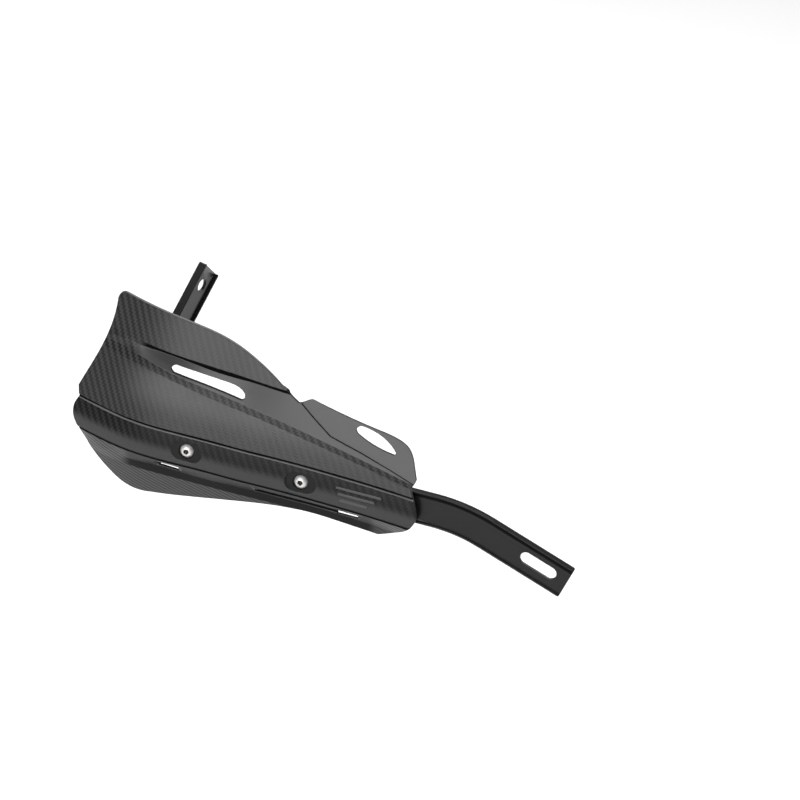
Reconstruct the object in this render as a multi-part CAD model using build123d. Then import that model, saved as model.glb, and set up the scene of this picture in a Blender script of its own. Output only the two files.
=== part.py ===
import math
import os

from build123d import *

# One hand guard, modelled about its outer shield screw and then moved so that
# the bar-end hole is the origin: +X inwards along the line through the two
# shield screws, +Y back to the rider, +Z up.

# Shield wall, its raised band and the grooves beside the band
shield_wall = 3.0
band_half_height = 11.6
band_crown = 0.9
groove_depth = 2.0
groove_width = 2.6

# Lean of the upper panel and slope of the lower lip
lean_curve = 0.0011
lean_slope = 0.10
lip_slope = 0.62
trough_height = 10.0
trough_wall = 6.5

# Fall of the step's underside, and the wing at the inner end, set back from the vent panel
step_fall = 3.8
wing_step = 1.2

# Shield screws, button heads with a hexagon socket
screw_spacing = 92.0
screw_diameter = 6.0
screw_length = 18.0
head_diameter = 10.5
head_height = 3.3
socket_size = 4.0
socket_depth = 2.0
screw_hole_clearance = 0.25
head_seat = 2.2
counterbore_clearance = 1.0
boss_diameter = 15.0
recess_length = 25.0
recess_height = 16.0
recess_depth = 0.9

# Flange nuts behind the bar
nut_flats = 10.0
nut_height = 6.0
nut_flange_diameter = 13.0
nut_flange_thickness = 1.6
thread_clearance = 0.03

# Bar: an H section that runs behind the band
bar_width = 25.6
bar_depth = 6.8
bar_web = 2.6
bar_flange = 1.7
bar_standoff = 6.5
bend_margin = 1.0
bend_radius = 36.5
bend_angle = 101.0
leg_rise = 53.3
leg_length = 96.7
leg_end_margin = 14.5
droop_start = 195.0
droop_radius = 130.0
droop_angle = 19.3
arm_length = 71.4
end_round = 1.3

# Holes that fix the bar to the handlebar
bar_end_hole = 10.0
slot_width = 9.6
slot_length = 31.0
slot_end_margin = 9.7

# Vents through the slope under the band, from start to end
lip_vent_height = 3.4
lip_vents = [(-26.0, -6.0), (58.0, 140.0)]

# Ribs on the band beside the inner screw
rib_start = 120.0
rib_lengths = [36.0, 29.0, 22.0]
rib_pitch = 5.0
rib_height = 2.2
rib_proud = 0.8

# Stations along the shield: place, face of the band, step line, step depth,
# lower edge of the vent panel, its bevel's height and stand, band's middle,
# depth of the trough under the band
STATIONS = [
    (-112.0, 34.5, 72.4, 0.0, 64.4, 7.2, 0.0, -1.8, 0.0),
    (-82.0, 21.0, 72.2, 0.0, 63.6, 7.2, 0.0, -3.0, 0.0),
    (-58.0, 11.8, 71.9, 0.3, 61.9, 7.2, 0.1, -3.2, 0.3),
    (-44.0, 7.2, 71.7, 3.2, 60.6, 6.8, 1.4, -2.6, 3.0),
    (-10.0, 1.2, 71.0, 4.5, 56.0, 6.2, 2.0, -0.6, 5.0),
    (40.0, -2.9, 70.0, 4.5, 50.2, 6.3, 2.0, 1.2, 5.0),
    (72.0, -2.6, 68.0, 4.5, 44.7, 6.2, 2.0, 1.3, 5.0),
    (98.0, -1.9, 67.4, 4.4, 39.2, 5.8, 1.8, 0.7, 5.0),
    (140.0, -0.7, 67.0, 4.0, 29.5, 4.9, 1.2, -1.2, 4.0),
    (170.0, 0.2, 66.2, 3.6, 22.0, 4.2, 0.7, -3.4, 2.2),
    (195.0, 0.8, 65.4, 3.4, 16.4, 3.6, 0.4, -5.3, 1.2),
]
SHEET_TOP = 112.0
SHEET_BOTTOM = -64.0


def lean(height):
    """Distance that the upper panel has leant back at a height above the band."""
    return lean_curve * height**2 + lean_slope * height


def between(x, column):
    """Value of one station column at x, straight between stations."""
    for near, far in zip(STATIONS, STATIONS[1:]):
        if x <= far[0]:
            share = (x - near[0]) / (far[0] - near[0])
            return near[column] + share * (far[column] - near[column])
    return STATIONS[-1][column]


def vent_panel(station):
    """Upper and lower edge of the vent panel at one station, as depth and height."""
    x, face, step_z, step, vent_z, bevel, proud, middle, trough = station
    top = middle + band_half_height + groove_width
    upper = (face + lean(step_z - step_fall - top) + step, step_z - step_fall)
    lower = (face + lean(vent_z - top) - proud, vent_z)
    return upper, lower


def shield_section(station):
    """Closed section of the shield's wall in the plane of one station."""
    x, face, step_z, step, vent_z, bevel, proud, middle, trough = station
    top = middle + band_half_height + groove_width
    low = middle - band_half_height - groove_width / 2

    def panel(z):
        return (face + lean(z - top), z)

    outer_panel = [panel(z) for z in (SHEET_TOP, (SHEET_TOP + step_z) / 2, step_z)]
    step_foot, vent_edge = vent_panel(station)
    belly_top = panel(vent_z - bevel)
    belly_middle = panel((belly_top[1] + top) / 2)
    belly_foot = (face, top)
    upper_groove = (face + groove_depth, top - groove_width / 3)
    band = [
        (face, middle + band_half_height),
        (face - band_crown, middle),
        (face, middle - band_half_height),
    ]
    lower_groove = (face + groove_depth, low)
    lip_start = (face + groove_depth - 0.4, low - groove_width / 3)
    lip_fall = lip_start[1] - trough_height
    ceiling = (lip_start[0] + lip_slope * trough_height + trough, lip_fall)
    wall_foot = (
        lip_start[0] + lip_slope * (trough_height + trough_wall) + trough / 3,
        lip_fall - trough_wall,
    )
    lip_end = (wall_foot[0] + lip_slope * (wall_foot[1] - SHEET_BOTTOM), SHEET_BOTTOM)

    wall = shield_wall
    slant = math.hypot(1, lip_slope)
    back = (wall / slant, wall * lip_slope / slant)
    inner = [
        (lip_end[0] + back[0], lip_end[1] + back[1]),
        (wall_foot[0] + back[0], wall_foot[1] + back[1]),
        (ceiling[0] + back[0], ceiling[1] + back[1]),
        (face + wall + 0.6, low + 0.6),
        (face + wall, middle),
        (face + wall + 0.4, top),
        (belly_top[0] + wall, belly_top[1]),
        (vent_edge[0] + wall, vent_edge[1]),
        (step_foot[0] + wall, step_foot[1] + wall * 0.7),
        (outer_panel[2][0] + wall, step_z + wall),
        (outer_panel[0][0] + wall, SHEET_TOP),
    ]

    def at(point):
        return (x, point[0], point[1])

    edges = [
        Spline(*[at(p) for p in outer_panel]),
        Polyline(*[at(p) for p in (outer_panel[2], step_foot, vent_edge, belly_top)]),
        Spline(at(belly_top), at(belly_middle), at(belly_foot)),
        Polyline(at(belly_foot), at(upper_groove), at(band[0])),
        Spline(*[at(p) for p in band]),
        Polyline(*[at(p) for p in (band[2], lower_groove, lip_start, ceiling, wall_foot, lip_end)]),
        Polyline(at(lip_end), *[at(p) for p in inner], at(outer_panel[0])),
    ]
    return Wire([edge for line in edges for edge in line.edges()])


def prism(edges, depth=260.0):
    """Front outline, drawn as edges in the XZ plane, pushed through the shield."""
    face = Face(Wire([edge for line in edges for edge in line.edges()]))
    return extrude(Pos(0, -depth / 2, 0) * face, amount=depth, dir=(0, 1, 0))


def front(*points):
    return [(x, 0, z) for x, z in points]


def shield_outline():
    top_line = [(-72, 100.8), (-47, 99.6), (-15, 98), (25.7, 91.2), (46, 82.8), (68.6, 68.4)]
    top_edge = Spline(*front(*top_line))
    step_end = Line(*front((68.6, 68.4), (70.6, 65.1)))
    notch_fall = Spline(*front((70.6, 65.1), (75.3, 62.2), (79.3, 60.2)))
    notch = Spline(*front((79.3, 60.2), (82.4, 61.3), (86, 63.4), (88.9, 64.4)))
    wing_top = Spline(*front((88.9, 64.4), (116, 58.6), (146, 53.4)))
    wing_end = Spline(*front((146, 53.4), (159.3, 50.6), (169, 45.6), (175.4, 34.8), (179.4, 24)))
    wing_foot = Spline(*front((179.4, 24), (178.4, 20.4), (176.3, 16.8)))
    inner_edge = Spline(*front((176.3, 16.8), (178.9, 10.6), (183.1, -0.5), (184.6, -7.4)))
    inner_corner = Spline(*front((184.6, -7.4), (177.1, -20.3), (170.2, -25.6), (154.7, -33.2)))
    lower_line = [(154.7, -33.2), (118, -30), (98.3, -29), (67.3, -31.8), (-8, -51), (-31, -56.8)]
    lower_edge = Spline(*front(*lower_line))
    outer_corner = Spline(*front((-31, -56.8), (-49, -58.4), (-63.5, -51)))
    lip_edge = Spline(*front((-63.5, -51), (-81.5, -33.5), (-93.4, -14.8)))
    band_edge = Spline(*front((-93.4, -14.8), (-99.6, -4), (-96.4, 10)))
    panel_foot = Line(*front((-96.4, 10), (-98.4, 18.8)))
    outer_edge = Spline(*front((-98.4, 18.8), (-89.6, 41.6), (-82.1, 64.8), (-79.3, 94.4)))
    top_corner = Spline(*front((-79.3, 94.4), (-77.4, 99), (-72, 100.8)))
    return [
        top_edge,
        step_end,
        notch_fall,
        notch,
        wing_top,
        wing_end,
        wing_foot,
        inner_edge,
        inner_corner,
        lower_edge,
        outer_corner,
        lip_edge,
        band_edge,
        panel_foot,
        outer_edge,
        top_corner,
    ]


def upper_vent():
    top = Spline(*front((-20.6, 63.2), (-5.2, 62.8), (19.4, 62.3), (26, 61.9), (33, 60.3), (37.6, 57.2)))
    nose = Spline(*front((37.6, 57.2), (37.9, 54.8), (36, 53)))
    foot = Line(*front((36, 53), (-21, 58.5)))
    tail = Spline(*front((-21, 58.5), (-23.6, 60.9), (-20.6, 63.2)))
    return [top, nose, foot, tail]


def wing_vent():
    top = Spline(*front((129.7, 53.9), (141.6, 51.6), (155.5, 44.3), (159.8, 40)))
    nose = Spline(*front((159.8, 40), (159.2, 38.9), (157, 38.9)))
    foot = Spline(*front((157, 38.9), (138.1, 43.8), (128.4, 48.2)))
    tail = Spline(*front((128.4, 48.2), (126.6, 51.2), (129.7, 53.9)))
    return [top, nose, foot, tail]


def wing_cutter():
    """Skin taken off the wing, inwards of a line that crosses the vent panel."""
    skins = []
    for station in STATIONS:
        if station[0] < 60:
            continue
        upper, lower = vent_panel(station)
        rise = (upper[0] - lower[0]) / (upper[1] - lower[1])
        crest = (upper[0] + 8 * rise, upper[1] + 8)
        corners = [
            (station[0], crest[0] - 8, crest[1]),
            (station[0], lower[0] - 8, lower[1]),
            (station[0], lower[0] + wing_step, lower[1]),
            (station[0], crest[0] + wing_step, crest[1]),
        ]
        skins.append(Wire(Polyline(*corners, close=True).edges()))
    line = [(81.5, 59.9), (94.1, 51.4), (108.6, 42.2), (133.2, 35.4), (158.4, 27.3), (178.5, 20.2)]
    field = Polyline(*front((81.5, 80), *line, (190, 17), (190, 80)), close=True)
    return Solid.make_loft(skins) & prism([field])


def lip_vent(start, end):
    """Cutter for one long vent through the slope under the band."""
    middle_x = (start + end) / 2
    drop = trough_height * 0.5
    low = between(middle_x, 7) - band_half_height - groove_width
    run = lip_slope + between(middle_x, 8) / trough_height
    face = between(middle_x, 1) + groove_depth + run * drop
    tilt = math.degrees(math.atan(run))
    cutter = extrude(SlotOverall(end - start, lip_vent_height), amount=14, both=True)
    return Pos(middle_x, face, low - drop) * Rot(X=90 + tilt) * cutter


web_front = bar_standoff + (bar_depth - bar_web) / 2
web_back = web_front + bar_web
bar_middle = bar_standoff + bar_depth / 2
screw_places = [0.0, screw_spacing]
bend_start = -(boss_diameter / 2 + bend_margin)


def seat_at(x):
    """Depth of the screw head's seat, measured in from the band's face."""
    return between(x, 1) + head_seat


def along_y(x, start, radius, length):
    """Round bar along Y, from a start depth towards the rider."""
    bar = Cylinder(radius, length, align=(Align.CENTER, Align.CENTER, Align.MIN))
    return Pos(x, start, 0) * Rot(X=-90) * bar


def make_shield():
    sheet = Solid.make_loft([shield_section(s) for s in STATIONS])
    body = sheet & prism(shield_outline())
    body -= wing_cutter()
    body -= prism(upper_vent())
    body -= prism(wing_vent())
    for start, end in lip_vents:
        body -= lip_vent(start, end)
    for row, length in enumerate(rib_lengths):
        x = rib_start + length / 2 + row * rib_height
        z = between(x, 7) + rib_pitch * (1 - row)
        rib = Box(length, 2 * rib_proud + shield_wall, rib_height)
        body += Pos(x, between(x, 1) - rib_proud + shield_wall / 2, z) * rib
    for x in screw_places:
        root = between(x, 1) + shield_wall / 2
        body += along_y(x, root, boss_diameter / 2, web_front - root)
    for x in screw_places:
        recess = extrude(SlotOverall(recess_length, recess_height), amount=recess_depth + 6)
        body -= Pos(x, between(x, 1) + recess_depth, 0) * Rot(X=90) * recess
        body -= along_y(x, -12, head_diameter / 2 + counterbore_clearance, 12 + seat_at(x))
        body -= along_y(x, -12, screw_diameter / 2 + screw_hole_clearance, 13 + web_front)
    return body


def bar_section():
    channel = (bar_depth - bar_web) / 2
    section = Rectangle(bar_depth, bar_width)
    for side in (-1, 1):
        offset = side * (bar_web + channel) / 2
        section -= Pos(offset, 0) * Rectangle(channel, bar_width - 2 * bar_flange)
    return section


def bar_plane(point, tangent):
    """Plane of the bar's section at a point, with its width kept upright."""
    along = Vector(*tangent).normalized()
    upright = Vector(0, 0, 1) - along * along.Z
    across = upright.normalized().cross(along)
    return Plane(point, x_dir=across, z_dir=along)


def bend_point(angle):
    """Point and tangent of the outer bend, in the plane that rises with the leg."""
    turn = math.radians(angle)
    rise = math.radians(leg_rise)
    out = bend_radius * math.sin(turn)
    reach = bend_radius * (1 - math.cos(turn))
    point = Vector(
        bend_start - out,
        bar_middle + reach * math.cos(rise),
        reach * math.sin(rise),
    )
    tangent = Vector(
        -math.cos(turn),
        math.sin(turn) * math.cos(rise),
        math.sin(turn) * math.sin(rise),
    )
    return point, tangent


def leg_hole_plane():
    """Plane of the bar-end hole, with its normal along the hole."""
    foot, direction = bend_point(bend_angle)
    centre = foot + direction * (leg_length - leg_end_margin)
    section = bar_plane(centre, direction)
    return Plane(centre, x_dir=direction, z_dir=section.x_dir)


def make_bar():
    profile = bar_section()
    straight = droop_start - bend_start
    body = extrude(bar_plane((bend_start, bar_middle, 0), (1, 0, 0)) * profile, amount=straight)
    bend_steps = 12
    bends = []
    for step in range(bend_steps + 1):
        point, tangent = bend_point(bend_angle * step / bend_steps)
        bends.append(bar_plane(point, tangent) * profile)
    body += loft(bends)
    foot, direction = bend_point(bend_angle)
    body += extrude(bar_plane(foot, direction) * profile, amount=leg_length)
    droop_centre = Axis((droop_start, bar_middle, -droop_radius), (0, 1, 0))
    droop_face = bar_plane((droop_start, bar_middle, 0), (1, 0, 0)) * profile
    body += revolve(droop_face, axis=droop_centre, revolution_arc=droop_angle)
    turn = math.radians(droop_angle)
    arm_start = Vector(
        droop_start + droop_radius * math.sin(turn),
        bar_middle,
        -droop_radius * (1 - math.cos(turn)),
    )
    arm_way = Vector(math.cos(turn), 0, -math.sin(turn))
    body += extrude(bar_plane(arm_start, arm_way) * profile, amount=arm_length)
    for middle, way in (
        (foot + direction * leg_length, direction),
        (arm_start + arm_way * arm_length, arm_way),
    ):
        corners = bar_plane(middle, way)
        for side in (-1, 1):
            corner = corners.origin + corners.y_dir * (side * bar_width / 2)
            edge = body.edges().sort_by_distance(corner)[0]
            body = fillet(edge, end_round)

    slot_middle = arm_start + arm_way * (arm_length - slot_end_margin - slot_length / 2)
    slot_plane = Plane(slot_middle, x_dir=arm_way, z_dir=(0, 1, 0))
    body -= extrude(slot_plane * SlotOverall(slot_length, slot_width), amount=bar_depth, both=True)
    body -= extrude(leg_hole_plane() * Circle(bar_end_hole / 2), amount=bar_depth, both=True)
    for x in screw_places:
        body -= along_y(x, 0, screw_diameter / 2 + screw_hole_clearance, web_back + 1)
    return body


def make_screw(x):
    top = seat_at(x) - head_height
    shank = along_y(x, seat_at(x), screw_diameter / 2, screw_length)
    crown = (head_diameter**2 / 4 + head_height**2) / (2 * head_height)
    dome = Pos(x, top + crown, 0) * Sphere(crown)
    head = dome & along_y(x, top, head_diameter / 2, head_height)
    hexagon = RegularPolygon(socket_size / 2, 6, major_radius=False)
    socket = Pos(x, top + socket_depth, 0) * Rot(X=90) * extrude(hexagon, amount=socket_depth + 1)
    return shank + head - socket


def make_nut(x):
    hexagon = extrude(RegularPolygon(nut_flats / 2, 6, major_radius=False), amount=nut_height)
    body = Pos(x, web_back + nut_height, 0) * Rot(X=90) * hexagon
    body += along_y(x, web_back, nut_flange_diameter / 2, nut_flange_thickness)
    return body - along_y(x, web_back - 1, screw_diameter / 2 + thread_clearance, nut_height + 2)


def save(name, *solids):
    origin = leg_hole_plane().origin
    moved = [Pos(-origin.X, -origin.Y, -origin.Z) * solid for solid in solids]
    shape = moved[0] if len(moved) == 1 else Compound(children=moved)
    export_step(shape, os.path.join("parts", name + ".step"))


os.makedirs("parts", exist_ok=True)
save("shield", make_shield())
save("support_bar", make_bar())
save("shield_screws", *[make_screw(x) for x in screw_places])
save("flange_nuts", *[make_nut(x) for x in screw_places])
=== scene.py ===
import math

import bmesh
import bpy
import numpy as np
from mathutils import Matrix, Vector


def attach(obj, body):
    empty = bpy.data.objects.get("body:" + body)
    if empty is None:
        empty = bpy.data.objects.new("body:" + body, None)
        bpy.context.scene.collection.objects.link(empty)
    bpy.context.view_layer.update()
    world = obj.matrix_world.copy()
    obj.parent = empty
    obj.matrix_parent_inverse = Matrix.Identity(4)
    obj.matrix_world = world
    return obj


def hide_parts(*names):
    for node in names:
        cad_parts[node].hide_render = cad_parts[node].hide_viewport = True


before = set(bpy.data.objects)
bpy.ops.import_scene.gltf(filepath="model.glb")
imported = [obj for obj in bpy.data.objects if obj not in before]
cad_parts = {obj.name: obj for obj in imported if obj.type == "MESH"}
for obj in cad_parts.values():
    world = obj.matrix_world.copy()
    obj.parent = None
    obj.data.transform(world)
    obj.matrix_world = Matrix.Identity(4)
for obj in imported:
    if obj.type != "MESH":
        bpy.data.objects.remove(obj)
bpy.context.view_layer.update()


# Support bar: an aluminium extrusion of H section, sawn, bent round the hand and
# drilled, then coated in glossy black. It carries the shield and is held to the
# handlebar at the bar-end hole and by the slot in its inner arm.

class Socket:
    """One output of a node. Sums written with it add Math nodes to its material."""

    def __init__(self, tree, output):
        self.tree = tree
        self.output = output

    def node(self, kind, settings=None, sockets=None, output=0):
        """A new node: its settings first, then the values or links of its sockets."""
        made = self.tree.nodes.new("ShaderNode" + kind)
        for name, value in (settings or {}).items():
            if name == "stops":
                stops = made.color_ramp.elements
                while len(stops) < len(value):
                    stops.new(1.0)
                for stop, (place, level) in zip(stops, value):
                    stop.position = place
                    stop.color = (level, level, level, 1.0)
            else:
                setattr(made, name, value)
        for name, value in (sockets or {}).items():
            if isinstance(value, Socket):
                self.tree.links.new(value.output, made.inputs[name])
            else:
                made.inputs[name].default_value = value
        return Socket(self.tree, made.outputs[output] if made.outputs else None)

    def math(self, operation, *terms):
        return self.node("Math", {"operation": operation}, dict(enumerate(terms)))

    def __add__(self, other):
        return self.math("ADD", self, other)

    def __sub__(self, other):
        return self.math("SUBTRACT", self, other)

    def __rsub__(self, other):
        return self.math("SUBTRACT", other, self)

    def __mul__(self, other):
        return self.math("MULTIPLY", self, other)

    def __truediv__(self, other):
        return self.math("DIVIDE", self, other)

    def __lt__(self, other):
        return self.math("LESS_THAN", self, other)

    def __gt__(self, other):
        return self.math("GREATER_THAN", self, other)

    __radd__ = __add__
    __rmul__ = __mul__

    def axes(self):
        """The three parts of a vector."""
        parts = self.node("SeparateXYZ", {}, {"Vector": self})
        return [Socket(self.tree, out) for out in parts.output.node.outputs]

    def at_least(self, other):
        return self.math("MAXIMUM", self, other)

    def at_most(self, other):
        return self.math("MINIMUM", self, other)

    def fade(self, start, end):
        """0 at start and 1 at end, with a soft change between them."""
        soft = {"interpolation_type": "SMOOTHSTEP"}
        return self.node("MapRange", soft, {"Value": self, "From Min": start, "From Max": end})

    def between(self, low, high):
        """Colour from low, where this is 0, to high, where it is 1."""
        return self.node("Mix", {"data_type": "RGBA"}, {0: self, 6: low, 7: high}, output=2)

    def noise(self, scale):
        """Even speckle, about one grain in 1/scale metres."""
        return self.node("TexNoise", {}, {"Vector": self, "Scale": scale, "Detail": 3.0})

    def bump(self, depth):
        """Surface normal over this relief, as deep as depth in metres."""
        return self.node("Bump", {}, {"Height": self, "Strength": 1.0, "Distance": depth})


def grey(level):
    return (level, level, level, 1.0)


def begin(name):
    """A new material, and the place on its piece in metres."""
    material = bpy.data.materials.new(name)
    material.use_nodes = True
    material.node_tree.nodes.clear()
    return material, Socket(material.node_tree, None).node("TexCoord", output="Object")


def from_shield(place):
    """Millimetres along the shield from its outer screw, and above that screw."""
    x, _, z = place.axes()
    return (x - shield_zero[0]) * 1000, (z - shield_zero[2]) * 1000


def surface(place, sockets):
    """The shader of a surface with these sockets."""
    return place.node("BsdfPrincipled", {}, sockets)


def close(place, shader):
    """Ends a material with the shader of its surface."""
    place.node("OutputMaterial", {}, {"Surface": shader})


def with_painted_shade(place, amount, shader):
    """A shader that turns black where amount is 1: painted shade, as in the depth of a recess.
    """
    black = surface(place, {
        "Base Color": grey(0.002),
        "Roughness": 0.9,
        "Specular IOR Level": 0.05,
    })
    return place.node("MixShader", {}, {0: amount, 1: shader, 2: black})


def join_faces(piece):
    """Joins the piece's faces along the edges where they meet."""
    weld = piece.modifiers.new("joined_faces", "WELD")
    weld.merge_threshold = 0.00001


def ease_edges(piece, width, angle):
    """Rounds the edges that turn by more than angle, as deburring and coating do."""
    ease = piece.modifiers.new("eased_edges", "BEVEL")
    ease.width = width
    ease.segments = 2
    ease.limit_method = "ANGLE"
    ease.angle_limit = math.radians(angle)
    ease.use_clamp_overlap = False
    return ease


def ease_flat_piece(piece, width, angle):
    """Eases the edges of a piece whose flat faces stay flat up to them."""
    join_faces(piece)
    flat = piece.modifiers.new("flat_faces", "DECIMATE")
    flat.decimate_type = "DISSOLVE"
    flat.angle_limit = math.radians(0.5)
    ease_edges(piece, width, angle).harden_normals = True


shield_zero = np.array([0.028645, -0.084098, -0.099544])
bar_width = 25.6
droop_start = 195.0
droop_radius = 130.0
droop_angle = math.radians(19.3)

# The painted shade on the bar, in millimetres: where it starts along the bar from the droop,
# and how far down from the top edge its dark-painted top face and the painted shadow under the
# flange reach.
shade_start = (-200.0, -150.0)
top_face_end = 0.05
top_face_dark = 0.82
flange_shadow_start = 0.45
flange_shadow_end = (4.8, 3.6)
flange_shadow_dark = 0.9

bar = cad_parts["support_bar"]
bar_coat, place = begin("bar_coat")
speckle = place.noise(2600.0)
drift = place.noise(60.0)
along, rise = from_shield(place)
along = along - droop_start
rise = rise + droop_radius
turn = along.math("ARCTAN2", along, rise).at_least(0.0).at_most(droop_angle)
reach = along * turn.math("SINE", turn) + rise * turn.math("COSINE", turn)
below_top = droop_radius + bar_width / 2 - reach
# Painted shade: the top face is painted dark, and a painted shadow lies on the web under the
# upper flange.
top_face_shade = (below_top < top_face_end) * top_face_dark
flange_shadow = (below_top > flange_shadow_start) * below_top.fade(*flange_shadow_end) * flange_shadow_dark
painted_bar_shade = along.fade(*shade_start) * top_face_shade.at_least(flange_shadow)
coat = surface(place, {
    "Base Color": drift.between(grey(0.006), grey(0.010)),
    "Roughness": 0.18 + 0.10 * speckle,
    "Normal": speckle.bump(0.00002),
    "Specular IOR Level": 0.32,
})
close(place, with_painted_shade(place, painted_bar_shade, coat))
bar.data.materials[0] = bar_coat
ease_flat_piece(bar, width=0.0004, angle=40)


# Shield: one moulding of black plastic about 3 mm thick. A twill print under satin
# lacquer covers its outer faces, and the vent panel, wing and back are plain plastic.
# Two screws hold its band to the front of the bar.

# Lines along the shield, in millimetres: the stations from the outer screw, and how far
# each line is above the screws there.
station_x = [-112, -82, -58, -44, -10, 40, 72, 98, 140, 170, 195]
step_line = [72.4, 72.2, 71.9, 71.7, 71, 70, 68, 67.4, 67, 66.2, 65.4]
vent_edge = [64.4, 63.6, 61.9, 60.6, 56, 50.2, 44.7, 39.2, 29.5, 22, 16.4]
bevel_foot = [57.2, 56.4, 54.7, 53.8, 49.8, 43.9, 38.5, 33.4, 24.6, 17.8, 12.8]
band_middle = [-1.8, -3, -3.2, -2.6, -0.6, 1.2, 1.3, 0.7, -1.2, -3.4, -5.3]

# Where the faces end: the step above its line, the others above the middle of the band,
# and the ribs along the shield.
step_top = 2.0
step_foot = -4.0
groove_top = 14.2
band_top = 11.0
band_foot = -11.0
band_edge_foot = -14.0
slope_foot = -24.0
trough_foot = -30.5
ribs_start = 110.0

# How much of a face's normal counts: seen from the side, turned to the back, and flat.
side_on = 0.3
to_back = 0.15
flat_on = 0.999

# What each face shows, out of 1: the twill, how much painted shade darkens it, whether the
# twill takes it over at the shield's ends, the slanting streaks, the groove's painted
# highlight and shade, and a bolder weave.
looks = ("twill", "shade", "ends", "streaks", "rim", "bold")
# The shade column is painted shade, mixing a face towards black: darkest in the step under the
# upper panel, the groove's roof, the band's edge, the trough's wall and the holes.
face_looks = {
    "hole": {"shade": 0.9},
    "back": {"shade": 0.2},
    "upper_panel": {"twill": 1.0},
    "step": {"shade": 1.0, "ends": 1.0},
    "vent_panel": {"ends": 1.0},
    "bevel": {"twill": 1.0, "shade": 0.18, "ends": 1.0, "bold": 0.8},
    "belly": {"twill": 1.0},
    "groove_floor": {"rim": 1.0},
    "groove_roof": {"shade": 1.0, "rim": 1.0},
    "screw_recess": {"shade": 0.75},
    "rib": {},
    "band": {"twill": 1.0, "shade": 0.55, "bold": 0.6},
    "band_edge": {"shade": 1.0},
    "slope": {"shade": 0.55, "ends": 1.0, "streaks": 1.0},
    "trough_wall": {"shade": 1.0, "ends": 1.0, "streaks": 1.0},
    "trough": {"shade": 0.82, "ends": 1.0, "streaks": 1.0},
    "lip": {"twill": 1.0, "shade": 0.22, "streaks": 1.0},
}


def moulded_faces(mesh):
    """The moulded face that each triangle belongs to, by the corners that they share."""
    corners = np.array([list(p.vertices) for p in mesh.polygons])
    lead = np.arange(len(mesh.vertices))
    settled = False
    while not settled:
        before = lead.copy()
        lowest = lead[corners].min(axis=1)
        for column in range(3):
            np.minimum.at(lead, corners[:, column], lowest)
        settled = bool((lead == before).all())
    return np.unique(lead[corners[:, 0]], return_inverse=True)[1]


def face_name(normal, along, over_step, over_edge, over_bevel, over_band):
    """Which face this is, by the way it looks and its height over the shield's lines."""
    to_front, to_top = -normal[1], normal[2]
    if np.abs(normal).max() < side_on:
        return "hole"
    if abs(to_front) < side_on and over_edge > 0 > over_step:
        return "hole"
    if to_front < to_back:
        return "back"
    if over_step > step_top:
        return "upper_panel"
    if over_step > step_foot:
        return "step"
    if over_edge > 0:
        return "vent_panel"
    if over_bevel > 0:
        return "bevel"
    if over_band > groove_top:
        return "belly"
    if over_band > band_top:
        return "groove_floor" if to_top > side_on else "groove_roof"
    if to_front > flat_on:
        return "rib" if along > ribs_start else "screw_recess"
    if over_band > band_foot:
        return "band"
    if over_band > band_edge_foot:
        return "band_edge"
    if over_band > slope_foot:
        return "trough_wall" if to_top > side_on else "slope"
    if over_band > trough_foot:
        return "trough"
    return "lip"


moulding = bpy.data.objects.new("shield_moulding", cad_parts["shield"].data.copy())
bpy.context.scene.collection.objects.link(moulding)
mesh = moulding.data
faces = moulded_faces(mesh)
areas = np.array([p.area for p in mesh.polygons])
normals = np.array([p.normal for p in mesh.polygons])
centres = (np.array([p.center for p in mesh.polygons]) - shield_zero) * 1000
measures = [normals[:, 0], normals[:, 1], normals[:, 2], centres[:, 0]]
for line in (step_line, vent_edge, bevel_foot, band_middle):
    measures.append(centres[:, 2] - np.interp(centres[:, 0], station_x, line))
whole = np.bincount(faces, areas)
means = np.array([np.bincount(faces, areas * m) / whole for m in measures]).T
face_names = [face_name(row[:3], *row[3:]) for row in means]
for look in looks:
    levels = np.array([face_looks[name].get(look, 0.0) for name in face_names], np.float32)
    layer = mesh.attributes.new(look, "FLOAT", "FACE")
    layer.data.foreach_set("value", levels[faces])
corners = (np.array([v.co for v in mesh.vertices]) - shield_zero) * 1000
heights = corners[:, 2] - np.interp(corners[:, 0], station_x, band_middle)
layer = mesh.attributes.new("over_band", "FLOAT", "POINT")
layer.data.foreach_set("value", heights.astype(np.float32))

# The long vents under the band, opened level so that light shows through their ends:
# start and end along the shield, depth and height of the slope there, fall to the back.
slits = [
    (-22.5, -6.0, 9.6, -19.9, -0.2),
    (56.0, 123.0, 7.8, -20.0, 0.25),
    (121.5, 138.5, 7.6, -20.3, -0.2),
]
slit_half = 1.9
slit_rise = 0.8
slit_front = -9.0
slit_back = 14.0
points = []
sides = []
for start, end, depth, height, fall in slits:
    first = len(points)
    profile = [
        (slit_front, -slit_half + slit_front * fall),
        (slit_back, -slit_half + slit_back * fall),
        (slit_back, slit_half + slit_back * slit_rise),
        (0.0, slit_half),
        (slit_front, slit_half + slit_front * fall),
    ]
    count = len(profile)
    for x in (start, end):
        for y, z in profile:
            points.append(shield_zero + np.array([x, depth + y, height + z]) / 1000)
    sides.append([first + corner for corner in reversed(range(count))])
    sides.append([first + count + corner for corner in range(count)])
    for corner in range(count):
        here = first + corner
        after = first + (corner + 1) % count
        sides.append([here, after, after + count, here + count])
cutter_mesh = bpy.data.meshes.new("slit_cutter")
cutter_mesh.from_pydata(points, [], sides)
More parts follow.
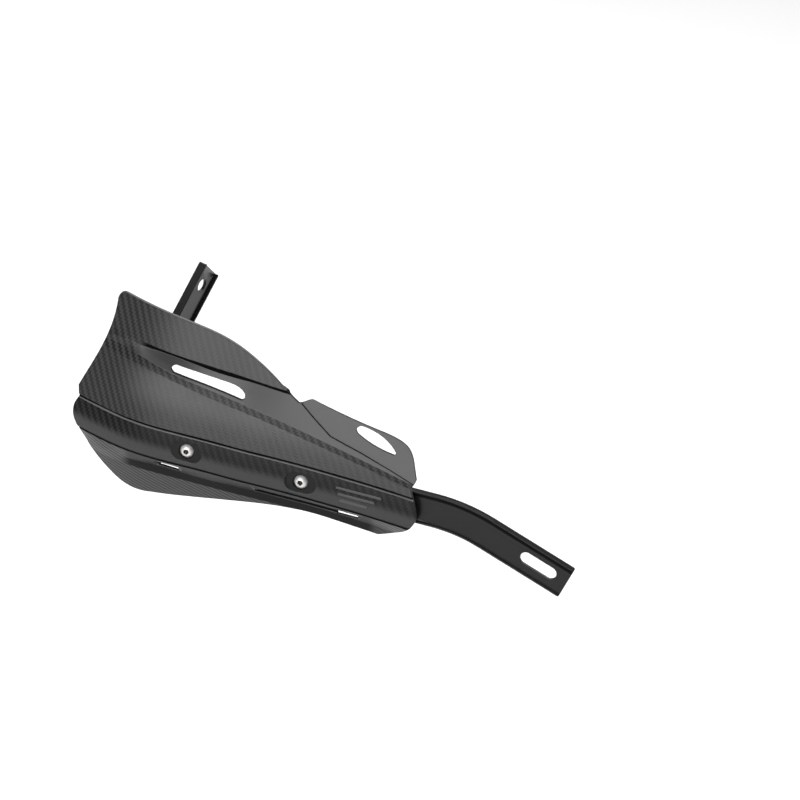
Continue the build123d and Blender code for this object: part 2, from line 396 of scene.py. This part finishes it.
# The slits' cut walls take full painted shade.
layer = cutter_mesh.attributes.new("shade", "FLOAT", "FACE")
layer.data.foreach_set("value", np.ones(len(sides), np.float32))
cutter = bpy.data.objects.new("slit_cutter", cutter_mesh)
bpy.context.scene.collection.objects.link(cutter)
join_faces(moulding)
cut = moulding.modifiers.new("slits", "BOOLEAN")
cut.operation = "DIFFERENCE"
cut.object = cutter
cut.use_self = True
ready = moulding.evaluated_get(bpy.context.evaluated_depsgraph_get())
opened = bpy.data.meshes.new_from_object(ready)
moulding.modifiers.clear()
# If the cut has lost most of the shield, the moulded vents stay as they are.
if len(opened.polygons) > len(mesh.polygons) / 2:
    moulding.data = opened
bpy.data.objects.remove(cutter)

crease = math.radians(12)
creased = bmesh.new()
creased.from_mesh(moulding.data)
for edge in creased.edges:
    edge.smooth = edge.calc_face_angle(0.0) < crease
creased.to_mesh(moulding.data)
creased.free()

# The print, in millimetres. A pair is where a change starts and where it is complete.
tow = 1.9
tow_edge = 0.55
twill_turn = math.radians(-17)
streak_pitch = 3.3
streak_slant = 0.357

# Along the shield: its plain faces' two ends, the stronger weave and the belly's painted glow.
outer_end = (-46.0, -58.0)
inner_end = (146.0, 157.0)
weave_start = (-15.0, -60.0)
glow_start = (-72.0, -36.0)

# Above the middle of the band: its upper half, where the groove's painted shade starts, and
# the belly's painted glow.
upper_band = (-5.0, 3.0)
groove_mouth = (12.1, 12.7)
glow_foot = (19.0, 43.0)
glow_top = (62.0, 50.0)

# How strong each is, out of 1, and the relief of streaks and grain beside the weave's.
weave_least = 0.38
glow_level = 0.46
gap_dark = 0.45
lower_band_light = 0.85
deep_shade = 0.7
streak_relief = 3.0
grain_relief = 0.4

shield_skin, place = begin("shield_skin")
x, z = from_shield(place)
warp = (x * math.cos(twill_turn) + z * math.sin(twill_turn)) / tow
weft = (z * math.cos(twill_turn) - x * math.sin(twill_turn)) / tow
warp_tow = warp.math("FLOOR", warp)
weft_tow = weft.math("FLOOR", weft)
over = warp.math("FLOORED_MODULO", warp_tow + weft_tow, 4.0) < 2.0
warp_crown = warp.math("SINE", (warp - warp_tow) * math.pi)
weft_crown = weft.math("SINE", (weft - weft_tow) * math.pi)
crown = over * warp_crown + (1 - over) * weft_crown
weave = over * (tow_edge + (1 - tow_edge) * crown)
streak = x.math("SINE", (z + streak_slant * x) * (2 * math.pi / streak_pitch)) * 0.5 + 0.5

twill, shade, ends, streaks, rim, bold, over_band = [
    place.node("Attribute", {"attribute_name": name}, output="Fac")
    for name in looks + ("over_band",)
]
ends = ends * x.fade(*outer_end).at_least(streaks * x.fade(*inner_end))
twill = twill + ends * (1 - twill)
upper_half = over_band.fade(*upper_band)
# Painted shade: most of it is lifted from the band's lower half.
lower_half = (1 - upper_half) * (shade < deep_shade) * (over_band > band_foot)
# Painted shade deepens towards the back of the groove.
groove_painted_shade = rim * over_band.fade(*groove_mouth)
shade = shade * (1 - ends) * (1 - lower_band_light * lower_half) + groove_painted_shade
pattern = weave + streaks * (streak - weave)
strength = (weave_least + (1 - weave_least) * x.fade(*weave_start)).at_least(bold)
strength = twill * streaks.at_least(upper_half * strength)
gaps = strength * (1 - pattern)
# The bold weave's dark cells also take painted shade, standing in for the weaker sheen of
# their fibres.
shade = shade + (1 - shade) * bold * gaps * gap_dark
# Painted glow: the belly's print is lightened below the bevel, a painted sheen of soft light
# on it.
belly = over_band.fade(*glow_foot) * over_band.fade(*glow_top)
painted_glow = twill * belly * x.fade(*glow_start) * glow_level
grain = place.noise(1800.0)
plain = grain.between((0.046, 0.047, 0.047, 1), (0.056, 0.057, 0.057, 1))
cloth = (1 - gaps).between(grey(0.003), (0.030, 0.030, 0.031, 1))
print_and_glow = painted_glow.between(twill.between(plain, cloth), grey(0.10))
weave_relief = crown * twill * (1 - streaks)
relief = weave_relief + streak * streaks * streak_relief + grain * grain_relief
lacquer = surface(place, {
    # The groove's faces are painted pale, a painted highlight of its lit lower wall.
    "Base Color": rim.between(print_and_glow, grey(0.14)),
    "Roughness": 0.34 + 0.06 * grain,
    "Normal": relief.bump(0.00005),
    "Specular IOR Level": 0.42,
})
close(place, with_painted_shade(place, shade, lacquer))
moulding.data.materials[0] = shield_skin
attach(moulding, "root")
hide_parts("shield")
join_faces(moulding)
ease_edges(moulding, width=0.0004, angle=35)
even_shading = moulding.modifiers.new("even_shading", "WEIGHTED_NORMAL")
even_shading.keep_sharp = True


# Shield screws: two stainless button heads with a hexagon socket, turned and polished.
# They pass through the shield's bosses and the bar's web.

screw_spacing = 92.0
socket_radius = 2.1
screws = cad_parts["shield_screws"]
screw_steel, place = begin("screw_steel")
turned = place.noise(900.0)
x, z = from_shield(place)
past_outer = x.math("ABSOLUTE", x)
past_inner = x.math("ABSOLUTE", x - screw_spacing)
across = past_outer.at_most(past_inner)
# The hexagon socket is painted dark, a painted shade in its hollow.
socket_shade = across * across + z * z < socket_radius ** 2
steel = turned.between((0.78, 0.76, 0.74, 1), (0.86, 0.84, 0.82, 1))
close(place, surface(place, {
    "Base Color": socket_shade.between(steel, (0.03, 0.028, 0.026, 1)),
    "Metallic": 0.7,
    "Roughness": 0.38 + 0.12 * turned,
}))
screws.data.materials[0] = screw_steel


# Flange nuts: two hexagon nuts of cold-formed steel, each with a flange of its own,
# plated with zinc. They draw the screws up behind the bar's web.

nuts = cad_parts["flange_nuts"]
nut_zinc, place = begin("nut_zinc")
plate = place.noise(1200.0)
close(place, surface(place, {
    "Base Color": plate.between((0.48, 0.49, 0.50, 1), (0.60, 0.61, 0.62, 1)),
    "Metallic": 1.0,
    "Roughness": 0.3 + 0.15 * plate,
}))
nuts.data.materials[0] = nut_zinc
ease_flat_piece(nuts, width=0.0002, angle=30)


# Studio: a pale paper floor under large soft lights, one from above, one in front and
# a small one at the side, with a long lens at the photograph's angle.

floor_half = 6.0
floor_height = -0.7
floor_corners = [(-1, -1), (1, -1), (1, 1), (-1, 1)]
floor_mesh = bpy.data.meshes.new("floor")
floor_mesh.from_pydata(
    [(x * floor_half, y * floor_half, floor_height) for x, y in floor_corners],
    [],
    [(0, 1, 2, 3)],
)
floor = bpy.data.objects.new("floor", floor_mesh)
bpy.context.scene.collection.objects.link(floor)
floor_paper, place = begin("floor_paper")
close(place, surface(place, {
    "Base Color": place.noise(4.0).between(grey(0.90), grey(0.93)),
    "Roughness": 0.9,
}))
floor_mesh.materials.append(floor_paper)

# The room's light from straight down to straight up, as a level at each height.
room_levels = [(0.0, 0.5), (0.5, 0.5), (0.53, 0.04), (1.0, 0.04)]
room_strength = 1.6
world = bpy.data.worlds.new("studio")
bpy.context.scene.world = world
world.use_nodes = True
world.node_tree.nodes.clear()
sky = Socket(world.node_tree, None).node("TexCoord", output="Generated")
height = sky.axes()[2]
room = height.node("ValToRGB", {"stops": room_levels}, {"Fac": height * 0.5 + 0.5})
backdrop = room.node("Background", {}, {"Color": room, "Strength": room_strength})
room.node("OutputWorld", {}, {"Surface": backdrop})

view_centre = Vector((0.173645, -0.025098, -0.040444))


def soft_light(name, place, size, power, spread):
    """A softbox at a place from the middle of the view, turned to face it."""
    lamp = bpy.data.lights.new(name, "AREA")
    lamp.shape = "RECTANGLE"
    lamp.size, lamp.size_y = size
    lamp.energy = power
    lamp.spread = math.radians(spread)
    light = bpy.data.objects.new(name, lamp)
    bpy.context.scene.collection.objects.link(light)
    light.location = view_centre + Vector(place)
    light.rotation_mode = "QUATERNION"
    light.rotation_quaternion = (-Vector(place)).to_track_quat("-Z", "Y")


soft_light("front_softbox", (-0.6, -2.85, 0.75), size=(3.6, 3.0), power=48, spread=110)
soft_light("overhead_softbox", (0.3, 1.3, 2.2), size=(3.8, 3.1), power=160, spread=180)
soft_light("side_card", (-1.85, -1.3, 2.0), size=(1.3, 1.3), power=3.5, spread=180)

camera_distance = 6.0
view_width = 0.608
sensor_width = 36.0
towards = Vector((0.188, -0.886, 0.4226)).normalized()
right = Vector((0.951, 0.272, 0.146)).normalized()
up = towards.cross(right).normalized()
right = up.cross(towards)
lens = bpy.data.cameras.new("long_lens")
lens.sensor_width = sensor_width
lens.lens = sensor_width * camera_distance / view_width
lens.clip_end = 40.0
camera = bpy.data.objects.new("camera", lens)
bpy.context.scene.collection.objects.link(camera)
turn = Matrix((right, up, towards)).transposed().to_4x4()
camera.matrix_world = Matrix.Translation(view_centre + towards * camera_distance) @ turn
bpy.context.scene.camera = camera
bpy.context.scene.view_settings.view_transform = "Standard"
